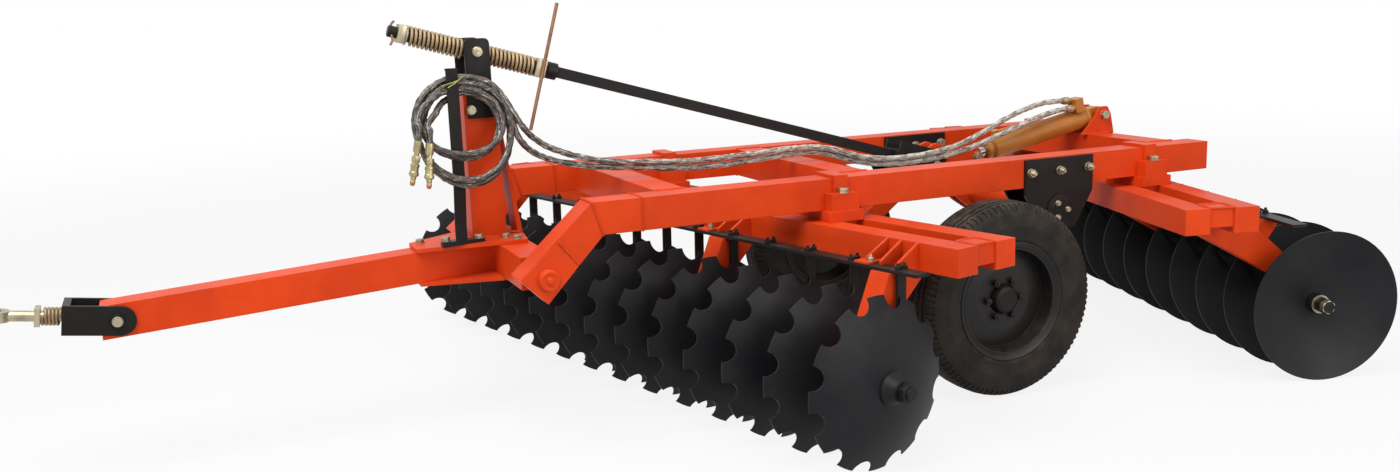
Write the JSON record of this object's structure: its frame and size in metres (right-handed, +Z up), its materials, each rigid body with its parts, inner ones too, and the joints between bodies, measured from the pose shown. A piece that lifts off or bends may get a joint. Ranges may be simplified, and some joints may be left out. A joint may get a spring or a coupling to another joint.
{
  "type": "disc harrow",
  "caption": "Trailed offset disc harrow: two angled disc gangs under a tube frame, two transport wheels on a rockshaft, lift cylinder, spring levelling rod, drawbar with tow eye.",
  "frame": {"origin": "on the ground under the middle of the overall box", "axes": "+X to the machine's left, -Y towards the tow eye, +Z up"},
  "size_m": [3.3402, 5.9652, 1.6074],
  "materials": {
    "orange_paint": "semi gloss, dusty",
    "black_paint": "satin, dusty",
    "disc_steel": "satin black coating",
    "cast_black": "rough, painted black",
    "zinc": "yellow zinc plate",
    "spring_steel": "dull",
    "bare_steel": "lightly rusted",
    "cylinder_paint": "semi gloss ochre",
    "rod_chrome": "polished",
    "tyre_rubber": "matt, dusty",
    "rim_black": "satin",
    "hose_rubber": "matt, in a dusty film wrap"
  },
  "bodies": {
    "frame": {"main_beam_left": "orange_paint", "main_beam_right": "orange_paint", "cross_tube_front": "orange_paint", "cross_tube_middle": "orange_paint", "cross_tube_rear": "orange_paint", "pivot_pins": "orange_paint", "rockshaft_plates": "black_paint", "cylinder_bracket": "orange_paint", "front_gang_frame": "orange_paint", "front_hangers": "orange_paint", "front_bearings": "cast_black", "front_scraper_bar": "black_paint", "rear_gang_frame": "orange_paint", "rear_hangers": "orange_paint", "rear_bearings": "cast_black", "rear_scraper_bar": "black_paint", "gang_clamps": "orange_paint", "hose_a": "hose_rubber", "hose_b": "hose_rubber"},
    "hitch": {"pivot_beam": "orange_paint", "drawbar": "orange_paint", "hitch_top_plate": "orange_paint", "hitch_bottom_plate": "orange_paint", "mast": "orange_paint", "mast_ears": "black_paint", "hose_carrier": "black_paint", "hose_coil": "hose_rubber", "hose_coupler_a": "zinc", "hose_coupler_b": "zinc"},
    "trunnion": {"levelling_trunnion": "black_paint"},
    "leveller": {"levelling_screw": "bare_steel", "levelling_springs": "spring_steel", "levelling_nuts": "zinc", "turning_bar": "bare_steel"},
    "levelling_bar": {"levelling_bar": "black_paint"},
    "rockshaft": {"rockshaft": "orange_paint", "wheel_arm_left": "orange_paint", "wheel_arm_right": "orange_paint", "rockshaft_lever": "orange_paint", "lever_pins": "zinc"},
    "barrel": {"cylinder_barrel": "cylinder_paint"},
    "rod": {"cylinder_rod": "rod_chrome"},
    "wheel_left": {"tyre_left": "tyre_rubber", "rim_left": "rim_black", "hub_left": "black_paint"},
    "wheel_right": {"tyre_right": "tyre_rubber", "rim_right": "rim_black", "hub_right": "black_paint"},
    "front_gang": {"front_discs": "disc_steel", "front_spools": "cast_black", "front_gang_axle": "disc_steel"},
    "rear_gang": {"rear_discs": "disc_steel", "rear_spools": "cast_black", "rear_gang_axle": "disc_steel"},
    "tow": {"tow_clevis": "black_paint", "tow_eye": "zinc", "tow_spring": "spring_steel"}
  },
  "joints": [
    {"name": "rockshaft_lift", "type": "hinge", "parent": "frame", "child": "rockshaft", "pos_m": [0.25204, 1.0487, 0.69], "axis": [1, 0, 0], "range_deg": [-14, 28]},
    {"name": "hitch_tilt", "type": "hinge", "parent": "frame", "child": "hitch", "pos_m": [0.25204, -1.1513, 0.655], "axis": [1, 0, 0], "range_deg": [0, 6]},
    {"name": "trunnion_swivel", "type": "hinge", "parent": "hitch", "child": "trunnion", "pos_m": [0.25204, -1.2273, 1.437], "axis": [1, 0, 0], "range_deg": [-6.5, 1]},
    {"name": "levelling_swing", "type": "hinge", "parent": "trunnion", "child": "leveller", "pos_m": [0.25204, -1.2273, 1.437], "axis": [1, 0, 0], "range_deg": [-5, 3]},
    {"name": "levelling_travel", "type": "slide", "parent": "leveller", "child": "levelling_bar", "axis": [0, 0.9594, -0.2821], "range_m": [0, 0.08]},
    {"name": "barrel_swing", "type": "hinge", "parent": "frame", "child": "barrel", "pos_m": [0.25204, 1.7377, 0.998], "axis": [1, 0, 0], "range_deg": [-2, 2]},
    {"name": "rod_slide", "type": "slide", "parent": "barrel", "child": "rod", "axis": [0, -0.9794, -0.2021], "range_m": [-0.045, 0.085]},
    {"name": "wheel_left_spin", "type": "hinge", "parent": "rockshaft", "child": "wheel_left", "pos_m": [0.99904, 0.6537, 0.392], "axis": [1, 0, 0], "continuous": true},
    {"name": "wheel_right_spin", "type": "hinge", "parent": "rockshaft", "child": "wheel_right", "pos_m": [-0.49496, 0.6537, 0.392], "axis": [1, 0, 0], "continuous": true},
    {"name": "front_gang_spin", "type": "hinge", "parent": "frame", "child": "front_gang", "pos_m": [0.04913, -0.56573, 0.305], "axis": [0.9717, 0.2363, 0], "continuous": true},
    {"name": "rear_gang_spin", "type": "hinge", "parent": "frame", "child": "rear_gang", "pos_m": [0.06909, 2.27652, 0.305], "axis": [0.9613, -0.2756, 0], "continuous": true},
    {"name": "tow_swing", "type": "hinge", "parent": "hitch", "child": "tow", "pos_m": [0.25204, -2.5543, 0.574], "axis": [1, 0, 0], "range_deg": [-35, 35]}
  ],
  "couplings": [
    {"joint": "trunnion_swivel", "follows": "hitch_tilt", "ratio": -0.85226},
    {"joint": "levelling_swing", "follows": "rockshaft_lift", "ratio": -0.08},
    {"joint": "levelling_travel", "follows": "hitch_tilt", "m_per_rad": 0.71823},
    {"joint": "barrel_swing", "follows": "rockshaft_lift", "ratio": -0.0065},
    {"joint": "rod_slide", "follows": "rockshaft_lift", "m_per_rad": 0.1632}
  ]
}
